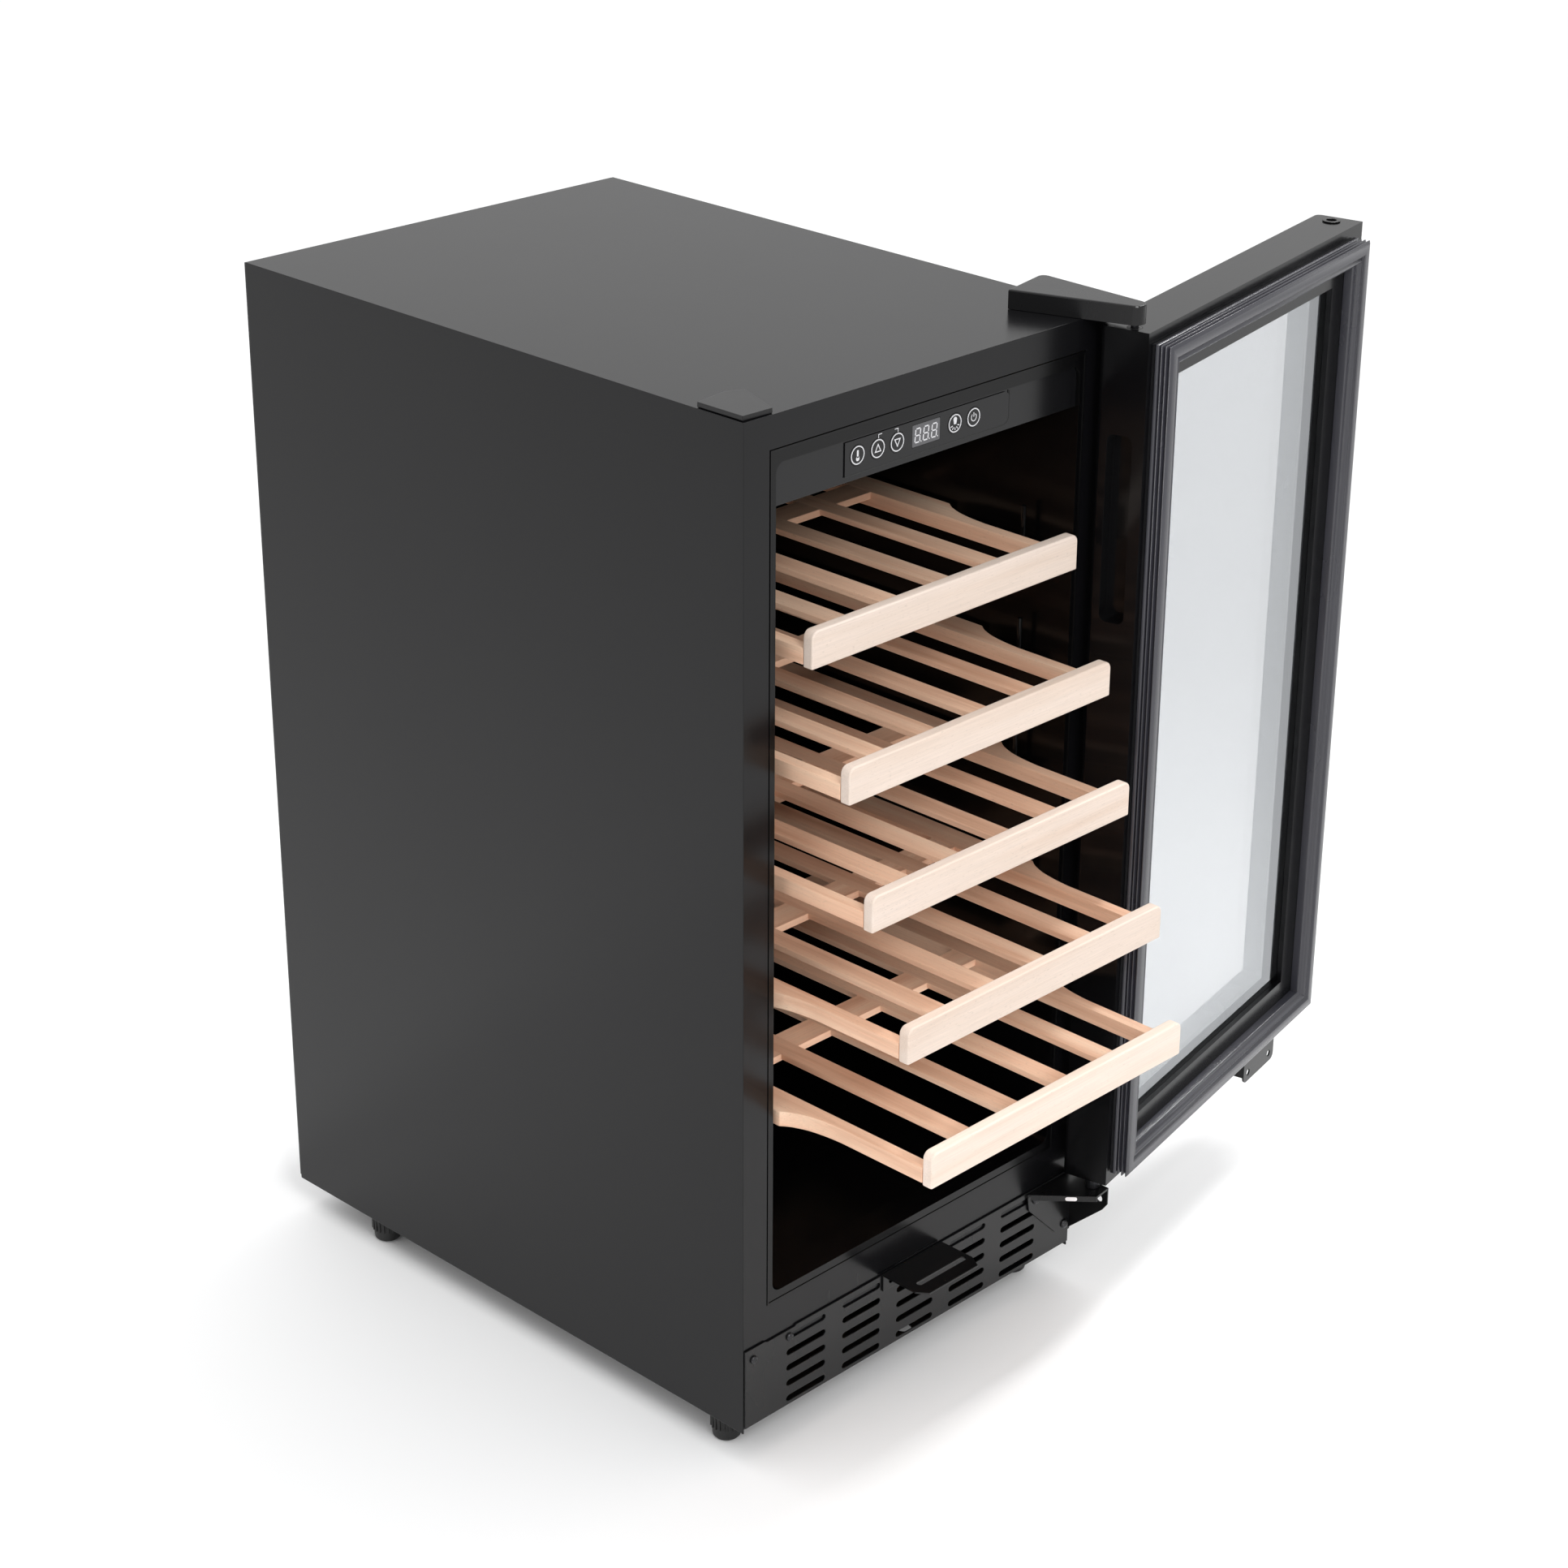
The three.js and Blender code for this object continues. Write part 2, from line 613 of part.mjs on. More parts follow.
function doorFrame() {
  const edge = 5;
  const plan = new THREE.Shape();
  plan.moveTo(WIDTH, DOOR.inner);
  plan.lineTo(0, DOOR.inner);
  plan.absarc(edge, DOOR.outer + edge, edge, Math.PI, 1.5 * Math.PI, false);
  plan.absarc(WIDTH - edge, DOOR.outer + edge, edge, -Math.PI / 2, 0, false);
  plan.closePath();
  const view = block(
    DOOR_VIEW.side, WIDTH - DOOR_VIEW.side, -60, -10,
    DOOR.bottom + DOOR_VIEW.end, DOOR.top - DOOR_VIEW.end,
  );
  const seat = block(
    GLASS_SEAT.side, WIDTH - GLASS_SEAT.side, -60, GLASS_SEAT.y,
    DOOR.bottom + GLASS_SEAT.end, DOOR.top - GLASS_SEAT.end,
  );
  return cut(
    raise(plan, DOOR.bottom, DOOR.top),
    view,
    seat,
    gripPocket(-5, GRIP.depth),
    gripPocket(WIDTH - GRIP.depth, WIDTH + 5),
    rodUp(AXIS.x, AXIS.y, DOOR.bottom - 5, 98, 6),
    rodUp(AXIS.x, AXIS.y, 784, DOOR.top + 5, 6),
    rodUp(PLUG.x, PLUG.y, 786, DOOR.top + 5, 6),
  );
}

// a rectangular ring that lines the pocket the glazing sits in
function seatRing(width, y0, y1) {
  const profile = [[GAP, y0], [width, y0], [width, y1], [GAP, y1]];
  const { side, end } = GLASS_SEAT;
  return mitredRing(profile, side, WIDTH - side, DOOR.bottom + end, DOOR.top - end);
}

function pane({ front, back }) {
  const side = GLASS_SEAT.side + GAP;
  const end = GLASS_SEAT.end + GAP;
  return block(side, WIDTH - side, front, back, DOOR.bottom + end, DOOR.top - end);
}

function gasket() {
  const face = [
    [19.1, -14.5], [19.1, -8], [17.6, -6.5], [16.2, -6.5], [15.4, -3], [14, -2], [12.6, -3.2],
    [11.4, -3.2], [10.4, -0.8], [2, -0.8],
  ];
  const folds = [
    [0.4, -1.6], [0.4, -3.2], [2.6, -4.2], [2.6, -5.8], [0.2, -6.8], [0.2, -8.2], [2.6, -9.2],
    [2.6, -10.8], [0, -11.8], [0, -14.5],
  ];
  return mitredRing([...face, ...folds], GASKET.left, GASKET.right, GASKET.bottom, GASKET.top);
}

function bush(z0, z1, bore) {
  return spin([[bore, z0], [5.7, z0], [5.7, z1], [bore, z1], [bore, z0]], AXIS.x, AXIS.y);
}

function reversalPlug() {
  const top = DOOR.top;
  const stem = [[0, 788], [5.7, 788], [5.7, top + GAP]];
  const rim = [[7.5, top + GAP], [7.5, top + 1.2], [4.4, top + 1.2], [4.4, top - 3], [0, top - 3]];
  return spin([...stem, ...rim], PLUG.x, PLUG.y);
}

function doorBracket() {
  const { left, right, bottom, corner, sheet, front, back } = DOOR_BRACKET;
  const high = DOOR.bottom - GAP;
  const face = new THREE.Shape();
  face.moveTo(right, high);
  face.lineTo(left, high);
  face.absarc(left + corner, bottom + corner, corner, Math.PI, 1.5 * Math.PI, false);
  face.absarc(right - corner, bottom + corner, corner, -Math.PI / 2, 0, false);
  face.closePath();
  for (const x of [left + 10, right - 9]) {
    face.holes.push(new THREE.Path().absarc(x, bottom + 8.5, 3.2, 0, 2 * Math.PI, true));
  }
  return join(
    runBack(face, front - sheet, front),
    block(right - sheet, right, back, front, bottom + corner, high),
    block(left, right, back, front, high - sheet, high),
  );
}

// --------------------------------------------------------------------- shelves
function shelfBar(front, top) {
  const edge = BAR.edge;
  const face = new THREE.Shape();
  const left = BAR.left + edge;
  const right = BAR.right - edge;
  const low = top - BAR.height + edge;
  const high = top - edge;
  const radius = BAR.corner - edge;
  face.moveTo(left, low);
  face.lineTo(right, low);
  face.absarc(right - radius, high - radius, radius, 0, Math.PI / 2, false);
  face.absarc(left + radius, high - radius, radius, Math.PI / 2, Math.PI, false);
  face.closePath();
  return new THREE.ExtrudeGeometry(face, {
    depth: BAR.thick - 2 * edge,
    bevelThickness: edge,
    bevelSize: edge,
    bevelSegments: 2,
    curveSegments: 4,
  }).rotateX(Math.PI / 2).translate(0, front + BAR.thick - edge, 0);
}

function railShape(front, mirror) {
  const plan = new THREE.Shape();
  const place = (x, d) => [mirror ? WIDTH - x : x, front + d];
  plan.moveTo(...place(60, BAR.thick + GAP));
  plan.lineTo(...place(60, RACK.depth));
  plan.lineTo(...place(35, RACK.depth));
  plan.lineTo(...place(35, 138));
  plan.lineTo(...place(38, 137));
  plan.bezierCurveTo(...place(41, 128), ...place(46, 122), ...place(48, 110));
  plan.lineTo(...place(49.5, 92));
  plan.lineTo(...place(49.5, BAR.thick + GAP));
  plan.closePath();
  return plan;
}

function shelfRack(front, top) {
  const high = top - RACK.drop;
  const low = high - RACK.rail;
  const start = front + BAR.thick + GAP;
  const end = front + RACK.depth;
  const pieces = [
    raise(railShape(front, false), low, high, 5),
    raise(railShape(front, true), low, high, 5),
    block(55, 325, front + 200, front + 225, high - RACK.cross, high),
    block(55, 325, end - 25, end, low, high),
    block(55, 325, start, start + 8, high - RACK.cross, high),
  ];
  for (const x of SLAT_CENTRES) {
    const half = RACK.slatWidth / 2;
    pieces.push(block(x - half, x + half, start, end, high - RACK.slat, high));
  }
  return join(...pieces);
}

// -------------------------------------------------------------------- assembly
const cooler = new THREE.Group();

function add(name, geometry, material) {
  const mesh = new THREE.Mesh(geometry, material);
  mesh.name = name;
  cooler.add(mesh);
}

add('cabinet_wrap', cabinetWrap(), steelGrey);
add('back_panel', backPanel(), steelGrey);
add('machine_cover', machineCover(), steelGrey);
add('base_pan', basePan(), steelGrey);
add('inner_liner', liner(), glossBlack);
add('foam_insulation', foam(), foamYellow);

add('control_fascia', controlFascia(), blackPlastic);
add('control_panel', controlPanel(), glossBlack);
add('display_window', displayWindow(), tileGrey);
for (const [name, x] of Object.entries(KEYS)) {
  add(name, touchKey(x), glossBlack);
}
add('control_board', controlBoard(), boardGreen);
add('light_bar', lightBar(), lampWhite);

add('fan_cover', fanCover(), blackPlastic);
add('circulation_fan', circulationFan(), blackPlastic);
add('fan_motor', fanMotor(), darkSteel);
add('compressor', compressor(), glossBlack);
add('drain_tray', drainTray(), blackPlastic);
add('condenser_coil', condenserCoil(), copper);
add('cord_gland', cordGland(), rubberGrey);

add('kick_grille', kickGrille(), blackPlastic);
add('grille_screw_outer', panHeadScrew(9.5, GRILLE.front - GAP, 64, 3.2), darkSteel);
add('grille_screw_inner', panHeadScrew(48, GRILLE.front - GAP, 66.5, 3.2), darkSteel);
add('centre_bracket', centreBracket(), darkSteel);
add('bottom_hinge_bracket', hingeBracket(), darkSteel);
add('hinge_screw_upper', panHeadScrew(333.5, -3.5 - GAP, 65.5, 4.2), darkSteel);
add('hinge_screw_lower', panHeadScrew(371.5, -3.5 - GAP, 26, 4.2), darkSteel);
add('bottom_hinge_pin', bottomPin(), zinc);

add('top_hinge_plate', topHingePlate(), zinc);
add('top_hinge_pin', topPin(), zinc);
add('top_hinge_cover', topHingeCover(), blackPlastic);
add('top_left_cap', topLeftCap(), blackPlastic);
FOOT_PLACES.forEach(([x, y], i) => add(FOOT_NAMES[i], foot(x, y), rubberGrey));

add('door_frame', openDoor(doorFrame()), glossBlack);
add('inner_glass', openDoor(pane(INNER_PANE)), clearGlass);
add('glass_spacer', openDoor(seatRing(SPACER.width, SPACER.front, SPACER.back)), blackPlastic);
add('outer_glass', openDoor(pane(OUTER_PANE)), clearGlass);
add('door_front_trim', openDoor(seatRing(BEZEL.width, DOOR.outer, BEZEL.back)), blackPlastic);
add('door_gasket', openDoor(gasket()), rubberGrey);
add('door_bush_bottom', openDoor(bush(DOOR.bottom, 97.6, 4.3)), lampWhite);
add('door_bush_top', openDoor(bush(784.4, DOOR.top, 3.3)), lampWhite);
add('reversal_plug', openDoor(reversalPlug()), blackPlastic);
add('door_bottom_bracket', openDoor(doorBracket()), darkSteel);

SHELF_TOPS.forEach((top, i) => {
  add(`shelf_${i + 1}_rack`, shelfRack(SHELF_FRONTS[i], top), beech);
  add(`shelf_${i + 1}_front_bar`, shelfBar(SHELF_FRONTS[i], top), beechPale);
});

const extent = new THREE.Box3().setFromObject(cooler);
const middle = extent.getCenter(new THREE.Vector3());
cooler.position.set(-middle.x, -middle.y, -extent.min.z);

export default cooler;
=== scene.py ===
"""Looks of a freestanding wine cooler: door swung wide open, five beech racks drawn out."""
import bmesh
import bpy
import math
from mathutils import Matrix, Vector


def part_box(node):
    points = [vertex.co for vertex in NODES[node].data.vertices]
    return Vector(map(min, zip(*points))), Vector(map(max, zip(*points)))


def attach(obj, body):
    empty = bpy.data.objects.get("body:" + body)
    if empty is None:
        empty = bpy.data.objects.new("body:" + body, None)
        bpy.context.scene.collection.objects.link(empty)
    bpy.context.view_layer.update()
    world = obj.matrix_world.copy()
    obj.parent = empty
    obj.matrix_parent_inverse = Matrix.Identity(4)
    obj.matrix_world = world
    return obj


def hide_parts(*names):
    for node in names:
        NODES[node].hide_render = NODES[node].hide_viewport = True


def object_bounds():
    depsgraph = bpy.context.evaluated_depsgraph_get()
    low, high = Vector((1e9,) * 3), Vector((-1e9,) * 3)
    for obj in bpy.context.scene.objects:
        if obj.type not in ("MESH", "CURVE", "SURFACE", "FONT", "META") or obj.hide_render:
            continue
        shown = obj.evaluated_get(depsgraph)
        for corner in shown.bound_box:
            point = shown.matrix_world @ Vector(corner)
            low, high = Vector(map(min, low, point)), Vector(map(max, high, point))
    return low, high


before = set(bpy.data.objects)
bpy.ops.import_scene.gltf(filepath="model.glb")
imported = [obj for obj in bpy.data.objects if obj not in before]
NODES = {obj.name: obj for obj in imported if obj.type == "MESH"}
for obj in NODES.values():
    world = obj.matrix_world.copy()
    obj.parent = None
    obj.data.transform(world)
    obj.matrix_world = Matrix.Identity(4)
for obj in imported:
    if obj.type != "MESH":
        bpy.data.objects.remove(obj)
CAD_LOW, CAD_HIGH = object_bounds()

# Cabinet coordinates are millimetres from the lower front left corner of its sides:
# x to the right, y towards the back and z up.
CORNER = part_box("cabinet_wrap")[0].copy()
WIDTH = 380.0

# The door's hinge line in x and y, and how far the door stands from closed.
AXIS = (372.0, -31.0)
DOOR_ANGLE = math.radians(191.85)

# Camera: place in cabinet coordinates, and degrees of heading, downward tilt and roll.
CAMERA_PLACE = (-1521.1, -1532.42, 1520.96)
CAMERA_TURN = (47.556, 24.451, 1.174)
CAMERA_LENS = 78.22
CAMERA_SHIFT = (-0.0697, 0.00455)

# Racks: each bar's top and front, then sizes along and across the slats.
SHELF_TOPS = (647.8, 556.6, 465.4, 374.2, 283.0)
SHELF_FRONTS = (-18.2, -55.5, -79.4, -116.0, -141.4)
RACK_START = 9.8
RACK_LENGTH = 400.0
RACK_DROP = 14.5
RACK_THICK = 12.5
SLAT_CENTRES = (108, 162, 218, 272)
SLAT_HALF = 9.2
SLAT_THICK = 5.0
SLAT_PITCH = 54.0
RACK_PITCH = 91.0
CROSS_LEFT, CROSS_RIGHT = 59.5, 320.5
BAR_LEFT, BAR_RIGHT = 49.1, 333.0
BAR_HEIGHT = 28.3
BAR_THICK = 9.5
BAR_CORNER = 6.0
BAR_FOOT = 1.2

# Keys and display, drawn on the panel's front face.
KEY_Z = 756.5
KEY_X = {"temperature": 113.1, "up": 133.6, "down": 153.5, "light": 213.8, "power": 233.8}
KEY_RING = 6.4
PRINT_FRONT = 1.81
PRINT_THICK = 0.12
DIGIT_FRONT = 1.88
DIGIT_FIRST, DIGIT_STEP = 174.6, 8.6
DIGIT_HALF_WIDTH, DIGIT_HALF_HEIGHT = 2.5, 5.0
DIGIT_LEAN, DIGIT_GAP, DIGIT_STROKE = 0.10, 0.55, 0.95

SLIT_PLACES = (93.0, 125.0)
FOOT_PLACES = {
    "foot_front_left": (22, 40),
    "foot_front_right": (358, 40),
    "foot_rear_left": (22, 450),
    "foot_rear_right": (358, 450),
}

# Each screw's place, on the sheet under its head, and the head's radius.
SCREW_PLACES = {
    "grille_screw_outer": (9.5, -1.9, 64, 3.4),
    "grille_screw_inner": (48, -1.9, 66.5, 3.4),
    "hinge_screw_upper": (333.5, -3.7, 65.5, 4.2),
    "hinge_screw_lower": (371.5, -3.7, 26, 4.2),
}


def at(x, y, z):
    """A point in cabinet coordinates, in metres where the CAD has it."""
    return CORNER + Vector((x, y, z)) / 1000


def on_door(x, y, z):
    """A point given on the closed door, carried to where the open door holds it."""
    dx, dy = x - AXIS[0], y - AXIS[1]
    c, s = math.cos(DOOR_ANGLE), math.sin(DOOR_ANGLE)
    return at(AXIS[0] + dx * c - dy * s, AXIS[1] + dx * s + dy * c, z)


# ------------------------------------------------------------------ camera
def make_camera():
    heading, tilt, roll = map(math.radians, CAMERA_TURN)
    ahead = Vector((math.sin(heading), math.cos(heading), 0))
    look = ahead * math.cos(tilt) - Vector((0, 0, math.sin(tilt)))
    right = look.cross(Vector((0, 0, 1))).normalized()
    up = right.cross(look)
    tilted_right = right * math.cos(roll) + up * math.sin(roll)
    tilted_up = up * math.cos(roll) - right * math.sin(roll)
    turn = Matrix((tilted_right, tilted_up, -look)).transposed().to_4x4()
    data = bpy.data.cameras.new("camera")
    data.sensor_width = 36
    data.lens = CAMERA_LENS
    data.shift_x, data.shift_y = CAMERA_SHIFT
    data.clip_start = 0.05
    data.clip_end = 50
    camera = bpy.data.objects.new("camera", data)
    camera.matrix_world = Matrix.Translation(at(*CAMERA_PLACE)) @ turn
    bpy.context.scene.collection.objects.link(camera)
    bpy.context.scene.camera = camera


# --------------------------------------------------------------- materials
def add_node(tree, kind, inputs=None, **settings):
    made = tree.nodes.new(kind)
    for key, value in settings.items():
        setattr(made, key, value)
    for key, value in (inputs or {}).items():
        if isinstance(value, bpy.types.NodeSocket):
            tree.links.new(value, made.inputs[key])
        else:
            made.inputs[key].default_value = value
    return made


def math_node(tree, operation, first, second=0.0):
    return add_node(tree, "ShaderNodeMath", {0: first, 1: second}, operation=operation).outputs[0]


def ramp(tree, value, stops):
    made = add_node(tree, "ShaderNodeValToRGB", {"Fac": value})
    elements = made.color_ramp.elements
    while len(elements) < len(stops):
        elements.new(0.5)
    for element, (position, colour) in zip(elements, stops):
        element.position = position
        element.color = colour if len(colour) == 4 else (*colour, 1)
    return made.outputs["Color"]


def mix(tree, blend, factor, first, second):
    inputs = {"Factor": factor, "A": first, "B": second}
    return add_node(tree, "ShaderNodeMix", inputs, data_type="RGBA", blend_type=blend).outputs[2]


def grey(value):
    return (value, value, value, 1)


def noise(tree, scale, source=None, detail=3.0, roughness=0.5):
    """Noise over object coordinates in metres, multiplied by scale along each axis."""
    if source is None:
        source = add_node(tree, "ShaderNodeTexCoord").outputs["Object"]
    vector = add_node(tree, "ShaderNodeMapping", {"Vector": source, "Scale": scale}).outputs["Vector"]
    inputs = {"Vector": vector, "Scale": 1.0, "Detail": detail, "Roughness": roughness}
    return add_node(tree, "ShaderNodeTexNoise", inputs).outputs["Fac"]


def start_material(name):
    material = bpy.data.materials.new(name)
    material.use_nodes = True
    tree = material.node_tree
    tree.nodes.clear()
    shader = add_node(tree, "ShaderNodeBsdfPrincipled")
    output = add_node(tree, "ShaderNodeOutputMaterial")
    tree.links.new(shader.outputs["BSDF"], output.inputs["Surface"])
    return material, tree, shader


def set_inputs(tree, shader, values):
    for key, value in values.items():
        if isinstance(value, bpy.types.NodeSocket):
            tree.links.new(value, shader.inputs[key])
        else:
            shader.inputs[key].default_value = value


def bump(tree, height, strength, distance):
    inputs = {"Height": height, "Strength": strength, "Distance": distance}
    return add_node(tree, "ShaderNodeBump", inputs).outputs["Normal"]


def coated(name, dark, light, rough, grain, bump_strength, distance=0.0002, **fixed):
    """Paint, plastic or rubber: colour and gloss drift slowly, with a fine skin texture."""
    material, tree, shader = start_material(name)
    drift = noise(tree, (7, 7, 7), detail=2.0)
    colour = ramp(tree, drift, ((0.3, dark), (0.7, light)))
    smear = noise(tree, (22, 22, 9), detail=4.0)
    gloss = ramp(tree, smear, ((0.25, grey(rough[0])), (0.75, grey(rough[1]))))
    skin = noise(tree, (grain, grain, grain), detail=2.0)
    normal = bump(tree, skin, bump_strength, distance)
    set_inputs(tree, shader, {"Base Color": colour, "Roughness": gloss, "Normal": normal})
    set_inputs(tree, shader, fixed)
    return material


def metal(name, dark, light, rough, metallic=1.0):
    material, tree, shader = start_material(name)
    streak = noise(tree, (900, 900, 60), detail=3.0)
    colour = ramp(tree, noise(tree, (60, 60, 60)), ((0.3, dark), (0.7, light)))
    gloss = ramp(tree, streak, ((0.3, grey(rough[0])), (0.7, grey(rough[1]))))
    normal = bump(tree, streak, 0.15, 0.0001)
    set_inputs(tree, shader, {"Base Color": colour, "Roughness": gloss, "Normal": normal})
    set_inputs(tree, shader, {"Metallic": metallic})
    return material


def beech(name, along, pale, mid, deep):
    """Beech with its grain along one axis: fine fibres, broad bands and short dark flecks.

    Each slat takes its own tone and its own stretch of grain from its place in the rack.
    """
    material, tree, shader = start_material(name)
    source = add_node(tree, "ShaderNodeTexCoord").outputs["Object"]
    split = add_node(tree, "ShaderNodeSeparateXYZ", {"Vector": source})

    def steps(axis, start, pitch, shift=0.0):
        """Which slat or rack a point is in, as a whole number."""
        offset = math_node(tree, "SUBTRACT", split.outputs[axis], start)
        count = math_node(tree, "MULTIPLY", offset, 1000 / pitch)
        return math_node(tree, "ROUND", math_node(tree, "SUBTRACT", count, shift))

    across = 0.0 if along == "x" else steps("X", CORNER.x, SLAT_PITCH)
    level = steps("Z", CORNER.z, RACK_PITCH, 0.05)
    cell = add_node(tree, "ShaderNodeCombineXYZ", {"X": across, "Y": 0.37, "Z": level}).outputs[0]
    chance = add_node(tree, "ShaderNodeTexWhiteNoise", {"Vector": cell}, noise_dimensions="3D")
    shift = {0: source, 1: chance.outputs["Color"]}
    moved = add_node(tree, "ShaderNodeVectorMath", shift, operation="ADD").outputs[0]

    def grain(cross, run, detail, roughness=0.5):
        scale = (run, cross, cross) if along == "x" else (cross, run, cross)
        return noise(tree, scale, moved, detail, roughness)

    bands = grain(75, 3.5, 3.0)
    fibres = grain(900, 22, 4.0, 0.6)
    flecks = grain(1300, 260, 1.0)
    colour = ramp(tree, bands, ((0.25, deep), (0.48, mid), (0.75, pale)))
    fibre_tone = ramp(tree, fibres, ((0.25, grey(0.80)), (0.7, grey(1.06))))
    colour = mix(tree, "MULTIPLY", 0.55, colour, fibre_tone)
    fleck_mask = ramp(tree, flecks, ((0.66, grey(0.0)), (0.76, grey(0.5))))
    fleck_colour = (*[c * 0.62 for c in mid], 1)
    colour = mix(tree, "MIX", fleck_mask, colour, fleck_colour)
    slat_tone = ramp(tree, chance.outputs["Value"], ((0.0, grey(0.84)), (1.0, grey(1.05))))
    colour = mix(tree, "MULTIPLY", 1.0, colour, slat_tone)
    gloss = ramp(tree, fibres, ((0.3, grey(0.5)), (0.7, grey(0.64))))
    normal = bump(tree, fibres, 0.25, 0.00015)
    set_inputs(tree, shader, {"Base Color": colour, "Roughness": gloss, "Normal": normal})
    return material


def coated_glass(name, tint, alpha, metallic):
    """A pane that partly mirrors and otherwise lets through what is behind it."""
    material, tree, shader = start_material(name)
    wipe = noise(tree, (14, 14, 3), detail=3.0)
    gloss = ramp(tree, wipe, ((0.3, grey(0.015)), (0.8, grey(0.05))))
    fixed = {"Base Color": (*tint, 1), "Metallic": metallic, "Alpha": alpha}
    set_inputs(tree, shader, {"Roughness": gloss, **fixed})
    return material


def printed(name, colour):
    """Ink, a small matt part, or a patch of painted shade or painted light, with a faint speckle."""
    material, tree, shader = start_material(name)
    speck = noise(tree, (1500, 1500, 1500))
    tone = ramp(tree, speck, ((0.2, [c * 0.9 for c in colour]), (0.8, colour)))
    set_inputs(tree, shader, {"Base Color": tone, "Roughness": 0.4})
    return material


def floor_material():
    material, tree, shader = start_material("pale_floor")
    cloud = noise(tree, (3, 3, 3))
    tone = ramp(tree, cloud, ((0.2, (0.93, 0.93, 0.935)), (0.8, (0.95, 0.95, 0.95))))
    set_inputs(tree, shader, {"Base Color": tone, "Roughness": 0.9, "Specular IOR Level": 0.1})
    return material


STEEL_PAINT = coated(
    "steel_paint", (0.0030, 0.0030, 0.0036), (0.0036, 0.0036, 0.0042), (0.22, 0.23), 2600, 0.04, IOR=1.34
)
LINER = coated(
    "liner_plastic", (0.0012, 0.0012, 0.0014), (0.0018, 0.0018, 0.002), (0.20, 0.24), 1200, 0.03, IOR=1.33
)
FASCIA = coated(
    "fascia_plastic", (0.0030, 0.0030, 0.0036), (0.0038, 0.0038, 0.0044), (0.18, 0.20), 3000, 0.03, IOR=1.42
)
PANEL = coated(
    "panel_film", (0.0028, 0.0028, 0.0033), (0.0034, 0.0034, 0.0040), (0.15, 0.17), 3000, 0.02, IOR=1.42
)
BLACK_PLASTIC = coated(
    "black_plastic", (0.0030, 0.0030, 0.0034), (0.0042, 0.0042, 0.0046), (0.26, 0.30), 2800, 0.06, IOR=1.42
)
FRAME_GLOSS = coated(
    "door_enamel", (0.0022, 0.0022, 0.0026), (0.0030, 0.0030, 0.0034), (0.16, 0.18), 900, 0.01, IOR=1.33
)
BLACK_STEEL = coated(
    "black_steel", (0.0030, 0.0030, 0.0034), (0.0042, 0.0042, 0.0046), (0.26, 0.30), 2400, 0.06, IOR=1.42
)
GASKET = coated(
    "gasket_rubber", (0.030, 0.030, 0.038), (0.034, 0.034, 0.043), (0.25, 0.28), 1800, 0.0, IOR=1.62
)
FOOT_RUBBER = coated(
    "foot_rubber", (0.006, 0.006, 0.006), (0.010, 0.010, 0.010), (0.45, 0.6), 1500, 0.2
)
FOAM = coated("foam", (0.62, 0.50, 0.25), (0.75, 0.62, 0.34), (0.8, 0.95), 400, 0.6, 0.001)
BOARD = coated("board", (0.01, 0.12, 0.04), (0.02, 0.18, 0.06), (0.35, 0.5), 2000, 0.1)
LAMP = coated("lamp_diffuser", (0.7, 0.74, 0.78), (0.8, 0.84, 0.88), (0.4, 0.5), 2000, 0.05)
NYLON = coated("nylon", (0.02, 0.02, 0.021), (0.03, 0.03, 0.031), (0.4, 0.5), 2000, 0.05)
ENAMEL = coated(
    "compressor_enamel", (0.008, 0.008, 0.009), (0.015, 0.015, 0.016), (0.2, 0.35), 500, 0.15
)
DARK_PIN = metal("dark_pin", (0.02, 0.02, 0.022), (0.05, 0.05, 0.055), (0.25, 0.4), 0.8)
SPACER = coated(
    "spacer_black", (0.002, 0.002, 0.002), (0.003, 0.003, 0.003), (0.4, 0.5), 1500, 0.05
)
COPPER = metal("copper_tube", (0.5, 0.22, 0.11), (0.68, 0.34, 0.18), (0.25, 0.4))
DARK_SCREW = metal("dark_screw", (0.03, 0.03, 0.032), (0.06, 0.06, 0.063), (0.22, 0.34), 0.9)
BEECH_RACK = beech("beech_rack", "y", (0.92, 0.66, 0.48), (0.86, 0.55, 0.38), (0.70, 0.38, 0.24))
BEECH_CROSS = beech("beech_cross", "x", (0.92, 0.66, 0.48), (0.86, 0.55, 0.38), (0.70, 0.38, 0.24))
BEECH_FRONT = beech(
    "beech_front", "x", (0.83, 0.70, 0.615), (0.80, 0.665, 0.57), (0.75, 0.595, 0.49)
)
INNER_GLASS = coated_glass("inner_glass_coating", (0.83, 0.86, 0.89), 0.35, 1.0)
OUTER_GLASS = coated_glass("outer_glass_tint", (0.02, 0.02, 0.025), 0.34, 0.0)
WHITE_PRINT = printed("white_print", (0.62, 0.62, 0.64))
TILE_PRINT = printed("display_tile", (0.085, 0.085, 0.09))
# Painted shade: near-black strokes laid on the panel's groove, the rail's slits and the screws' cross
# hollows.
SHADE_LINE = printed("painted_shade_line", (0.002, 0.002, 0.002))
# Painted light: a near-white patch for the lit floor seen through the slot in the hinge bracket's lip.
FLOOR_GLIMPSE_WHITE = printed("painted_floor_glimpse", (0.85, 0.82, 0.82))


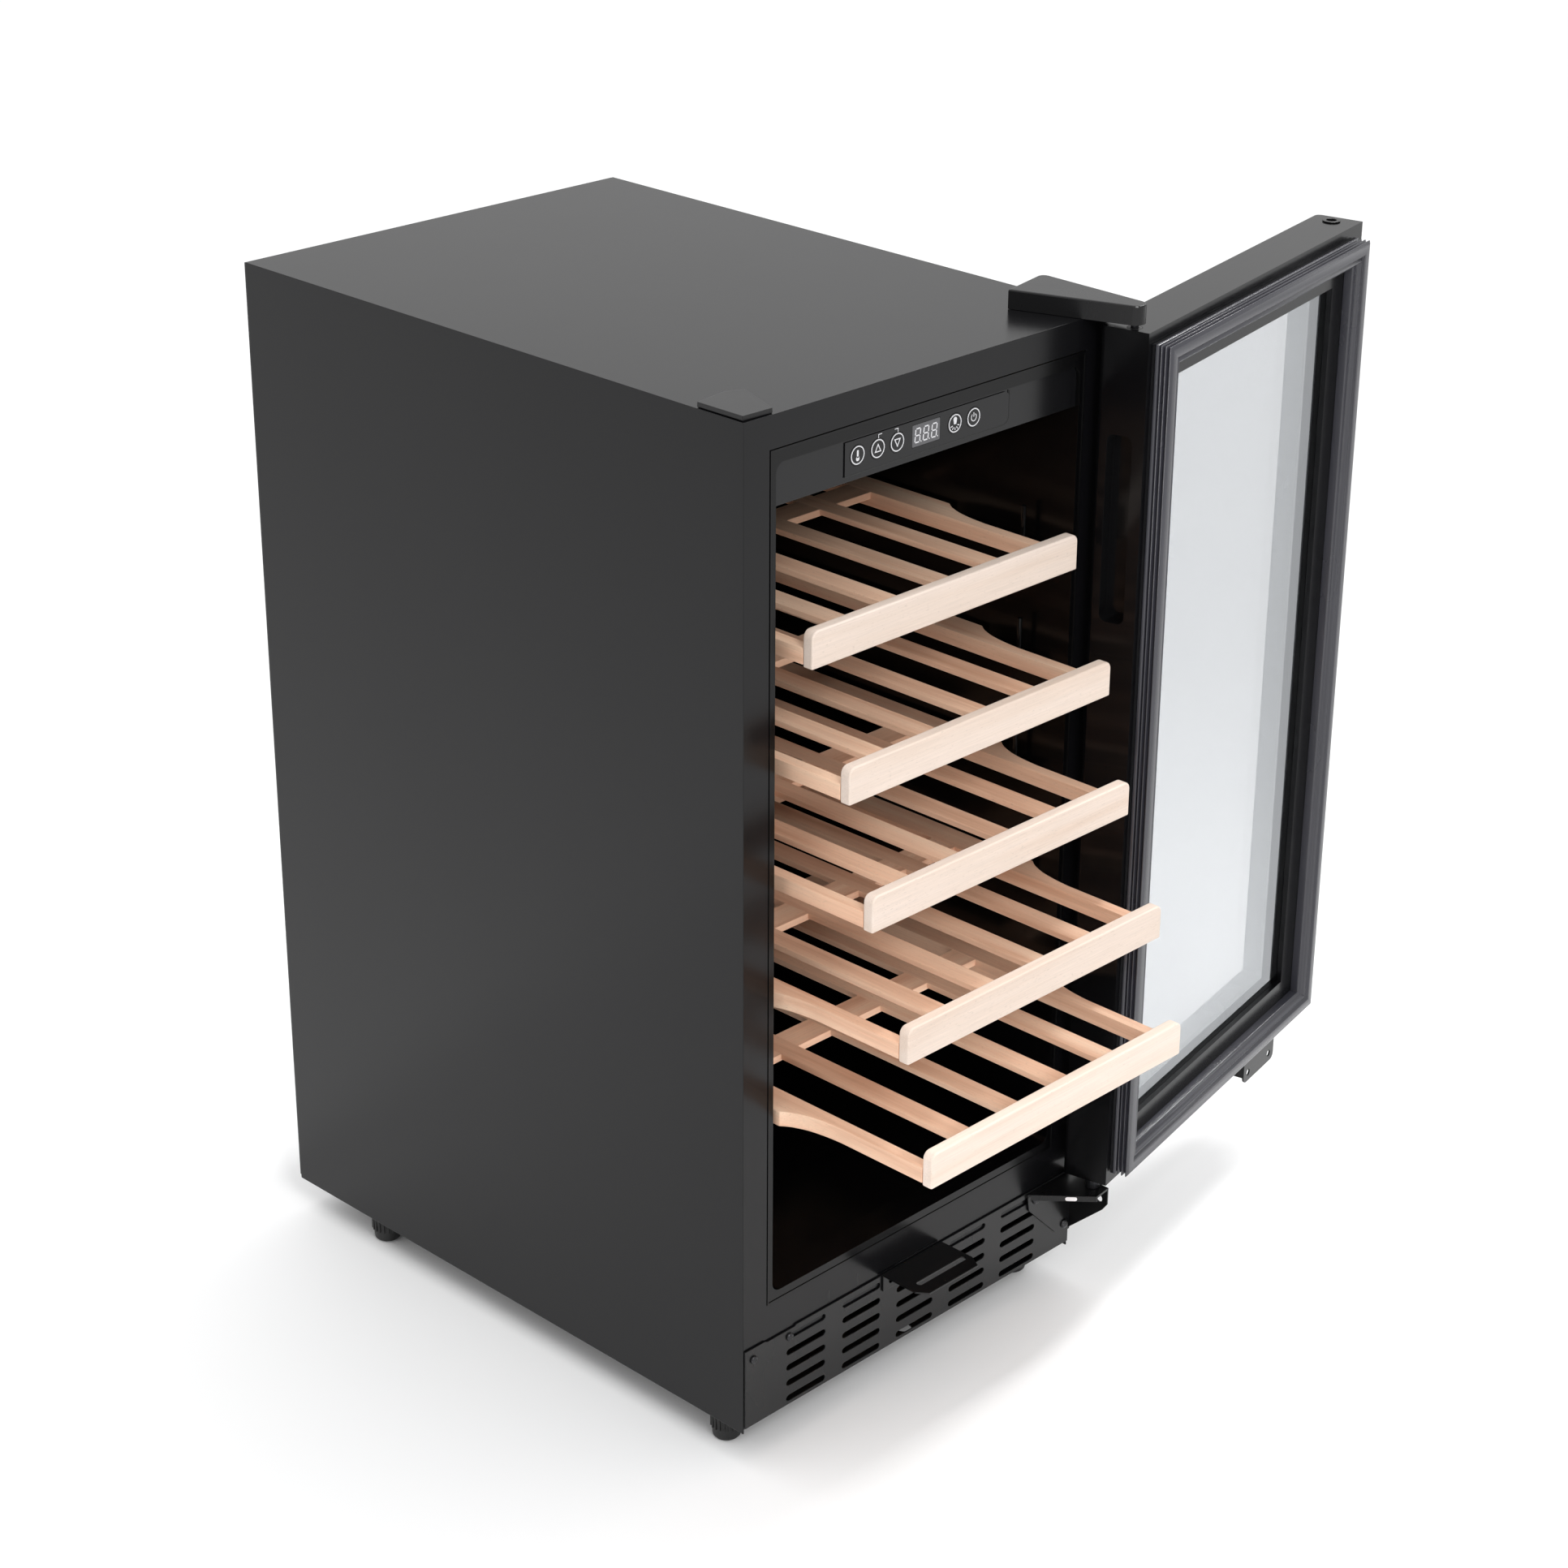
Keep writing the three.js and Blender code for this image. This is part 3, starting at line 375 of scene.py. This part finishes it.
# ------------------------------------------------------------ mesh building
class Sketch:
    """Collects rounded solids, given in millimetres, into one mesh."""

    def __init__(self, place=at):
        self.mesh = bmesh.new()
        self.place = place

    def take(self, part, rounding=0.0, segments=2, angle=30.0):
        """Adds a solid, rounding the edges that turn by more than angle degrees."""
        bmesh.ops.recalc_face_normals(part, faces=part.faces)
        if rounding:
            limit = math.radians(angle)
            joined = [edge for edge in part.edges if len(edge.link_faces) == 2]
            bmesh.ops.bevel(
                part,
                geom=[edge for edge in joined if edge.calc_face_angle(0) > limit],
                offset=rounding,
                segments=segments,
                profile=0.5,
                affect="EDGES",
                clamp_overlap=True,
            )
        loose = bpy.data.meshes.new("loose")
        part.to_mesh(loose)
        part.free()
        self.mesh.from_mesh(loose)
        bpy.data.meshes.remove(loose)

    def box(self, x0, x1, y0, y1, z0, z1, rounding=0.0):
        part = bmesh.new()
        bmesh.ops.create_cube(part, size=1)
        centre = Vector((x0 + x1, y0 + y1, z0 + z1)) / 2
        size = Vector((x1 - x0, y1 - y0, z1 - z0))
        for vertex in part.verts:
            vertex.co = centre + vertex.co * size
        self.take(part, rounding)

    def prism(self, points, low, high, plane="xy", rounding=0.0, segments=2, angle=30.0):
        """An outline in the xy or xz plane, carried along the third axis."""
        def corner(u, v, w):
            return (u, v, w) if plane == "xy" else (u, w, v)

        part = bmesh.new()
        bottom = [part.verts.new(corner(u, v, low)) for u, v in points]
        top = [part.verts.new(corner(u, v, high)) for u, v in points]
        part.faces.new(bottom)
        part.faces.new(list(reversed(top)))
        count = len(points)
        for i in range(count):
            j = (i + 1) % count
            part.faces.new((bottom[i], top[i], top[j], bottom[j]))
        self.take(part, rounding, segments, angle)

    def ring(self, profile, x0, x1, z0, z1):
        """A closed profile of (inset, y) swept round a rectangle, with mitred corners."""
        part = bmesh.new()
        rows = []
        for inset, y in profile:
            left, right, low, high = x0 + inset, x1 - inset, z0 + inset, z1 - inset
            corners = ((left, y, low), (right, y, low), (right, y, high), (left, y, high))
            rows.append([part.verts.new(corner) for corner in corners])
        for here, there in zip(rows, rows[1:] + rows[:1]):
            for k in range(4):
                m = (k + 1) % 4
                part.faces.new((here[k], here[m], there[m], there[k]))
        self.take(part)

    def spin(self, profile, centre, axis="z", steps=32):
        """A profile of (radius, height) turned about a z or y line through centre."""
        part = bmesh.new()
        rows = []
        for radius, height in profile:
            row = []
            for k in range(steps if radius else 1):
                turn = 2 * math.pi * k / steps
                u, v = radius * math.cos(turn), radius * math.sin(turn)
                offset = (u, v, height) if axis == "z" else (u, -height, v)
                row.append(part.verts.new([c + o for c, o in zip(centre, offset)]))
            rows.append(row)
        for here, there in zip(rows, rows[1:]):
            for k in range(steps):
                m = (k + 1) % steps
                near = (here[k % len(here)], here[m % len(here)])
                far = (there[m % len(there)], there[k % len(there)])
                part.faces.new(list(dict.fromkeys(near + far)))
        self.take(part)

    def stroke(self, points, width, y, thick=PRINT_THICK, closed=False):
        """A painted line of even width on the front, through points (x, z)."""
        line = [Vector(point) for point in points]
        count = len(line)
        left, right = [], []
        for i, point in enumerate(line):
            before = line[i - 1] if closed or i > 0 else None
            after = line[(i + 1) % count] if closed or i < count - 1 else None
            arriving = (after - point if before is None else point - before).normalized()
            leaving = arriving if after is None else (after - point).normalized()
            across = Vector((-arriving.y, arriving.x))
            side = (across + Vector((-leaving.y, leaving.x))).normalized()
            side *= (width / 2) / max(0.4, side.dot(across))
            left.append(point + side)
            right.append(point - side)
        for i in range(count if closed else count - 1):
            j = (i + 1) % count
            self.prism([left[i], left[j], right[j], right[i]], y, y + thick, "xz")

    def done(self, name, body, material, replaces=(), sharp=40.0, weighted=True):
        """Makes the piece, which rides on body and may stand for CAD nodes."""
        mesh = bpy.data.meshes.new(name)
        for vertex in self.mesh.verts:
            vertex.co = self.place(*vertex.co)
        bmesh.ops.recalc_face_normals(self.mesh, faces=self.mesh.faces)
        self.mesh.to_mesh(mesh)
        self.mesh.free()
        mesh.polygons.foreach_set("use_smooth", [True] * len(mesh.polygons))
        mesh.set_sharp_from_angle(angle=math.radians(sharp))
        mesh.materials.append(material)
        made = bpy.data.objects.new(name, mesh)
        bpy.context.scene.collection.objects.link(made)
        if weighted:
            normals = made.modifiers.new("normals", "WEIGHTED_NORMAL")
            normals.keep_sharp = True
        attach(made, body)
        if replaces:
            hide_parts(*replaces)


def arc(cx, cy, radius, start, end, steps):
    """Points on a circle from start to end degrees."""
    turns = [math.radians(start + (end - start) * k / steps) for k in range(steps + 1)]
    return [(cx + radius * math.cos(turn), cy + radius * math.sin(turn)) for turn in turns]


def dress(name, material, width=0.0):
    """Gives a CAD node its material, and rounds its edges by width millimetres."""
    node = NODES[name]
    node.data.materials.clear()
    node.data.materials.append(material)
    weld = node.modifiers.new("weld", "WELD")
    weld.merge_threshold = 0.00002
    if width:
        edge = node.modifiers.new("edge", "BEVEL")
        edge.width = width / 1000
        edge.segments = 2
        edge.limit_method = "ANGLE"
        edge.angle_limit = math.radians(35)
    normals = node.modifiers.new("normals", "WEIGHTED_NORMAL")
    normals.keep_sharp = True


# ------------------------------------------------------------------- racks
def side_rail(front, mirror):
    """A rack's side rail seen from above, set in at the front by a smooth curve."""
    outline = [(60, RACK_START), (60, RACK_LENGTH), (35, RACK_LENGTH), (35, 139), (36.5, 137.6)]
    outline += [(38.4, 135), (40.6, 131.5), (43, 126), (45.2, 120), (46.8, 113), (48, 106)]
    outline += [(48.9, 98), (49.5, 90), (49.5, RACK_START)]
    return [(WIDTH - x if mirror else x, front + depth) for x, depth in outline]


def build_slats(rack, front, high):
    wood = Sketch()
    for mirror in (False, True):
        wood.prism(side_rail(front, mirror), high - RACK_THICK, high, rounding=0.9, angle=40)
    near, far = front + RACK_START, front + RACK_LENGTH - 0.4
    for centre in SLAT_CENTRES:
        left, right = centre - SLAT_HALF, centre + SLAT_HALF
        wood.box(left, right, near, far, high - SLAT_THICK, high, 0.8)
    replaced = [f"shelf_{rack}_rack"]
    wood.done(f"rack_{rack}_slats", f"shelf_{rack}", BEECH_RACK, replaced)


def build_cross_pieces(rack, front, high):
    """Crosswise laths at the front, the middle and the back of a rack."""
    wood = Sketch()
    start, end = front + RACK_START, front + RACK_LENGTH
    under, over = high - 6.2, high - 0.25
    back_under, back_over = high - RACK_THICK + 0.2, high - 5.2
    wood.box(CROSS_LEFT, CROSS_RIGHT, front + 200, front + 225, under, over, 0.7)
    wood.box(CROSS_LEFT, CROSS_RIGHT, end - 25, end - 0.6, back_under, back_over, 0.7)
    wood.box(CROSS_LEFT, CROSS_RIGHT, start, start + 8, under, over, 0.5)
    wood.done(f"rack_{rack}_cross_pieces", f"shelf_{rack}", BEECH_CROSS, [])


def build_bar(rack, front, top):
    """A rack's front bar, with round upper corners and eased edges."""
    wood = Sketch()
    base = top - BAR_HEIGHT
    outline = arc(BAR_LEFT + BAR_FOOT, base + BAR_FOOT, BAR_FOOT, 180, 270, 2)
    outline += arc(BAR_RIGHT - BAR_FOOT, base + BAR_FOOT, BAR_FOOT, 270, 360, 2)
    outline += arc(BAR_RIGHT - BAR_CORNER, top - BAR_CORNER, BAR_CORNER, 0, 90, 8)
    outline += arc(BAR_LEFT + BAR_CORNER, top - BAR_CORNER, BAR_CORNER, 90, 180, 8)
    wood.prism(outline, front, front + BAR_THICK, "xz", rounding=1.9, segments=4, angle=60)
    replaced = [f"shelf_{rack}_front_bar"]
    wood.done(f"rack_{rack}_bar", f"shelf_{rack}", BEECH_FRONT, replaced)


def build_racks():
    for rack, (front, top) in enumerate(zip(SHELF_FRONTS, SHELF_TOPS), 1):
        high = top - RACK_DROP
        build_slats(rack, front, high)
        build_cross_pieces(rack, front, high)
        build_bar(rack, front, top)


# ------------------------------------------------------------ door's seal
def build_gasket():
    """Three ribs round the outside, then a flat face with a bead and an inner lip."""
    seal = Sketch(on_door)
    profile = [(0.0, -14.6), (0.0, -12.6), (0.8, -11.9)]
    for centre in (-10.2, -6.6, -2.9):
        profile += [(2.6, centre - 1.3), (1.2, centre - 1.0), (0.35, centre - 0.5)]
        profile += [(0.15, centre), (0.35, centre + 0.5), (1.2, centre + 1.0)]
    profile += [(2.2, -1.2), (3.2, -0.8), (9.4, -0.8), (10.4, -1.4), (10.9, -2.8), (12.0, -3.3)]
    profile += [(13.2, -2.5), (14.6, -2.1), (15.6, -3.0), (16.2, -5.6), (17.4, -6.4)]
    profile += [(18.6, -6.9), (19.1, -8.2), (19.1, -14.6)]
    seal.ring(profile, 11.2, 368.8, 89.0, 790.5)
    seal.done("gasket_seal", "door", GASKET, ["door_gasket"], sharp=50, weighted=False)


# ---------------------------------------------------------------- controls
def draw_thermometer(ink, x):
    low, high = PRINT_FRONT, PRINT_FRONT + PRINT_THICK
    ink.prism(arc(x, KEY_Z - 2.6, 1.7, 0, 345, 23), low, high, "xz")
    base, top = KEY_Z - 2, KEY_Z + 3.6
    ink.prism([(x - 0.9, base), (x + 0.9, base), (x + 0.9, top), (x - 0.9, top)], low, high, "xz")


def draw_triangle(ink, x, base, tip):
    points = [(x - 2.8, KEY_Z + base), (x, KEY_Z + tip), (x + 2.8, KEY_Z + base)]
    ink.stroke(points, 0.75, PRINT_FRONT, closed=True)


def draw_corner(ink, x, run):
    """Small angle above an arrow key."""
    low, high = KEY_Z + 7.4, KEY_Z + 10.2
    ink.stroke([(x, low), (x, high), (x + run, high)], 0.55, PRINT_FRONT)


def draw_lamp(ink, x):
    base = KEY_Z - 0.6
    shade = arc(x, KEY_Z + 2.9, 1.9, -30, 210, 12) + [(x - 1.2, base), (x + 1.2, base)]
    ink.prism(shade, PRINT_FRONT, PRINT_FRONT + PRINT_THICK, "xz")
    for angle in (-160, -125, -90, -55, -20):
        c, s = math.cos(math.radians(angle)), math.sin(math.radians(angle))
        ray = [(x + 2.6 * c, base + 2.6 * s), (x + 4.9 * c, base + 4.4 * s)]
        ink.stroke(ray, 0.7, PRINT_FRONT)


def draw_power(ink, x):
    ink.stroke(arc(x, KEY_Z, 2.7, 125, 415, 16), 0.65, PRINT_FRONT)
    ink.stroke([(x, KEY_Z + 0.4), (x, KEY_Z + 3.6)], 0.65, PRINT_FRONT)


def build_key_signs():
    ink = Sketch()
    for x in KEY_X.values():
        ink.stroke(arc(x, KEY_Z, KEY_RING, 0, 345, 23), 0.8, PRINT_FRONT, closed=True)
    draw_thermometer(ink, KEY_X["temperature"])
    draw_triangle(ink, KEY_X["up"], -2.2, 3.1)
    draw_triangle(ink, KEY_X["down"], 2.3, -2.9)
    draw_corner(ink, KEY_X["up"] + 0.4, 3.4)
    draw_corner(ink, KEY_X["down"] + 0.4, -3.4)
    draw_lamp(ink, KEY_X["light"])
    draw_power(ink, KEY_X["power"])
    ink.done("key_signs", "cabinet", WHITE_PRINT, [], weighted=False)


def draw_digit(ink, cx, cz):
    """A leaning 8 in seven bars, with a point after it."""
    half_width, half_height = DIGIT_HALF_WIDTH, DIGIT_HALF_HEIGHT

    def lean(u, v):
        return (cx + u + v * DIGIT_LEAN, cz + v)

    for v in (-half_height, 0, half_height):
        bar = [lean(DIGIT_GAP - half_width, v), lean(half_width - DIGIT_GAP, v)]
        ink.stroke(bar, DIGIT_STROKE, DIGIT_FRONT)
    for u in (-half_width, half_width):
        for v0, v1 in ((-half_height, 0), (0, half_height)):
            bar = [lean(u, v0 + DIGIT_GAP), lean(u, v1 - DIGIT_GAP)]
            ink.stroke(bar, DIGIT_STROKE, DIGIT_FRONT)
    point = arc(*lean(half_width + 1.5, -half_height), 0.5, 0, 330, 11)
    ink.prism(point, DIGIT_FRONT, DIGIT_FRONT + PRINT_THICK, "xz")


def build_digits():
    ink = Sketch()
    for k in range(3):
        draw_digit(ink, DIGIT_FIRST + k * DIGIT_STEP, KEY_Z + 0.1)
    ink.done("display_digits", "cabinet", WHITE_PRINT, [], weighted=False)


def build_panel_groove_shade():
    # Painted shade: a near-black line where the groove round the panel's right and bottom edges lies in
    # shade.
    seam = Sketch()
    groove = [(100.5, 743.0)] + arc(266.5, 749, 6, 270, 360, 6) + [(272.5, 768)]
    seam.stroke(groove, 0.9, 2.0, thick=0.3)
    seam.done("panel_groove_shade", "cabinet", SHADE_LINE, [], weighted=False)


# ------------------------------------------------------------ small pieces
def build_rail_slit_shade():
    """Painted shade: two short dark strokes on the rail above the grille, standing for the shade inside its
    slits.
    """
    slits = Sketch()
    for x in SLIT_PLACES:
        slits.stroke([(x, 77.5), (x, 87.0)], 0.9, -0.04)
    slits.done("rail_slit_shade", "cabinet", SHADE_LINE, [], weighted=False)


def build_feet():
    """Tapered levelling feet with ribbed sides."""
    ribs = 20
    for name, (x, y) in FOOT_PLACES.items():
        foot = Sketch()
        profile = [(0, -30), (8.0, -30), (9.8, -29.4), (10.9, -28.2), (11.3, -26.5)]
        profile += [(11.5 + k * 0.35, -22 + k * 5) for k in range(4)]
        profile += [(13.1, -1.2), (12.6, -0.4), (0, -0.4)]
        foot.spin(profile, (x, y, 0), steps=48)
        for k in range(ribs):
            turn = 2 * math.pi * k / ribs
            cx, cy = x + 12.2 * math.cos(turn), y + 12.2 * math.sin(turn)
            foot.prism(arc(cx, cy, 0.9, 0, 300, 5), -20, -2)
        foot.done(name + "_pad", "cabinet", FOOT_RUBBER, [name], weighted=False)


def build_bracket_floor_glimpse():
    """Pale oval on the slanted lip of the bottom hinge bracket, painted light standing for the white floor
    seen through the lip's slot.
    """
    def on_lip(u, v, z):
        return at(347.1 + 0.669 * u - 0.743 * v, -29.6 - 0.743 * u - 0.669 * v, z)

    # The pale oval is painted light, not a part: the white floor as seen through the slot.
    bush = Sketch(on_lip)
    oval = arc(3.2, 71.0, 1.75, -90, 90, 8) + arc(-3.2, 71.0, 1.75, 90, 270, 8)
    bush.prism(oval, 0.0, 0.7, "xz", rounding=0.25)
    bush.done("hinge_bracket_floor_glimpse", "cabinet", FLOOR_GLIMPSE_WHITE, [], weighted=False)


def build_screws():
    """Domed heads, each with a near-black cross on top as painted shade for its cross-shaped hollow."""
    dome = ((0, 0), (1, 0), (1, 0.5), (0.94, 1.1), (0.78, 1.7), (0.5, 2.05), (0.22, 2.15), (0, 2.15))
    for name, (x, y, z, radius) in SCREW_PLACES.items():
        screw = Sketch()
        screw.spin([(radius * share, height) for share, height in dome], (x, y, z), "y")
        screw.done(name + "_head", "cabinet", DARK_SCREW, [name], weighted=False)
        # Painted shade: a near-black cross stands for the shade inside each head's cross-shaped hollow.
        recess_shade = Sketch()
        arm, half = radius * 0.5, radius * 0.11
        for wide, tall in ((arm, half), (half, arm)):
            recess_shade.box(x - wide, x + wide, y - 2.2, y - 2.05, z - tall, z + tall)
        recess_shade.done(name + "_recess", "cabinet", SHADE_LINE, [], weighted=False)


def dress_nodes():
    """Materials of the CAD nodes, and how far their edges are rounded."""
    dress("cabinet_wrap", STEEL_PAINT, 0.3)
    for name in ("back_panel", "machine_cover", "base_pan"):
        dress(name, STEEL_PAINT)
    dress("inner_liner", LINER, 0.3)
    dress("foam_insulation", FOAM)
    dress("control_fascia", FASCIA, 0.3)
    dress("control_panel", PANEL)
    dress("display_window", TILE_PRINT)
    for name in ("key_temperature_unit", "key_up", "key_down", "key_light", "key_power"):
        dress(name, PANEL)
    dress("control_board", BOARD)
    dress("light_bar", LAMP)
    for name in ("fan_cover", "circulation_fan", "drain_tray"):
        dress(name, BLACK_PLASTIC)
    dress("kick_grille", BLACK_STEEL, 0.25)
    dress("fan_motor", BLACK_STEEL)
    dress("compressor", ENAMEL)
    dress("condenser_coil", COPPER)
    dress("cord_gland", FOOT_RUBBER)
    for name in ("centre_bracket", "bottom_hinge_bracket", "door_bottom_bracket"):
        dress(name, BLACK_STEEL, 0.4)
    dress("bottom_hinge_pin", DARK_PIN, 0.3)
    dress("top_hinge_pin", DARK_PIN, 0.3)
    dress("top_hinge_plate", BLACK_STEEL, 0.3)
    dress("top_hinge_cover", BLACK_PLASTIC)
    dress("top_left_cap", BLACK_PLASTIC, 0.6)
    dress("door_frame", FRAME_GLOSS, 0.7)
    dress("inner_glass", INNER_GLASS)
    dress("outer_glass", OUTER_GLASS)
    dress("glass_spacer", SPACER)
    dress("door_front_trim", BLACK_PLASTIC, 0.5)
    dress("door_bush_bottom", NYLON)
    dress("door_bush_top", NYLON)
    dress("reversal_plug", BLACK_PLASTIC, 0.3)


# ------------------------------------------------------------------- stage
def build_stage():
    mesh = bpy.data.meshes.new("floor")
    size = 12
    corners = [(-size, -size, 0), (size, -size, 0), (size, size, 0), (-size, size, 0)]
    mesh.from_pydata(corners, [], [(0, 1, 2, 3)])
    mesh.materials.append(floor_material())
    floor = bpy.data.objects.new("floor", mesh)
    bpy.context.scene.collection.objects.link(floor)
    floor.location.z = CAD_LOW.z - 0.0005


def area_light(name, place, target, size, power, spread=180):
    """A rectangular lamp that faces target, in metres and watts."""
    data = bpy.data.lights.new(name, "AREA")
    data.shape = "RECTANGLE"
    data.size, data.size_y = size
    data.energy = power
    data.spread = math.radians(spread)
    light = bpy.data.objects.new(name, data)
    light.location = place
    light.rotation_mode = "QUATERNION"
    light.rotation_quaternion = (Vector(target) - Vector(place)).to_track_quat("-Z", "Y")
    bpy.context.scene.collection.objects.link(light)


def build_world():
    """A white studio that brightens from the horizon up to the zenith."""
    world = bpy.data.worlds.new("studio")
    world.use_nodes = True
    tree = world.node_tree
    toward = add_node(tree, "ShaderNodeTexCoord").outputs["Generated"]
    height = add_node(tree, "ShaderNodeSeparateXYZ", {"Vector": toward}).outputs["Z"]
    inputs = {"Value": height, "From Min": 0.0, "From Max": 1.0, "To Min": 0.70, "To Max": 1.3}
    strength = add_node(tree, "ShaderNodeMapRange", inputs).outputs[0]
    background = tree.nodes["Background"]
    background.inputs["Color"].default_value = grey(1)
    tree.links.new(strength, background.inputs["Strength"])
    bpy.context.scene.world = world


def build_lights():
    build_world()
    area_light("overhead_softbox", (-0.1, 0.3, 2.1), (0.0, 0.2, 0.0), (2.0, 2.0), 5)
    area_light("key_softbox", (-1.4, -2.5, 2.5), (-0.1, -0.05, 0.7), (1.0, 1.0), 4.2, spread=50)
    area_light("rim_strip", (2.0, -0.1, 2.6), (0.2, 0.0, 0.8), (0.3, 1.2), 4, spread=50)
    settings = bpy.context.scene.view_settings
    settings.view_transform = "Standard"
    settings.look = "None"


make_camera()
dress_nodes()
build_racks()
build_gasket()
build_key_signs()
build_digits()
build_panel_groove_shade()
build_rail_slit_shade()
build_feet()
build_bracket_floor_glimpse()
build_screws()
build_stage()
build_lights()
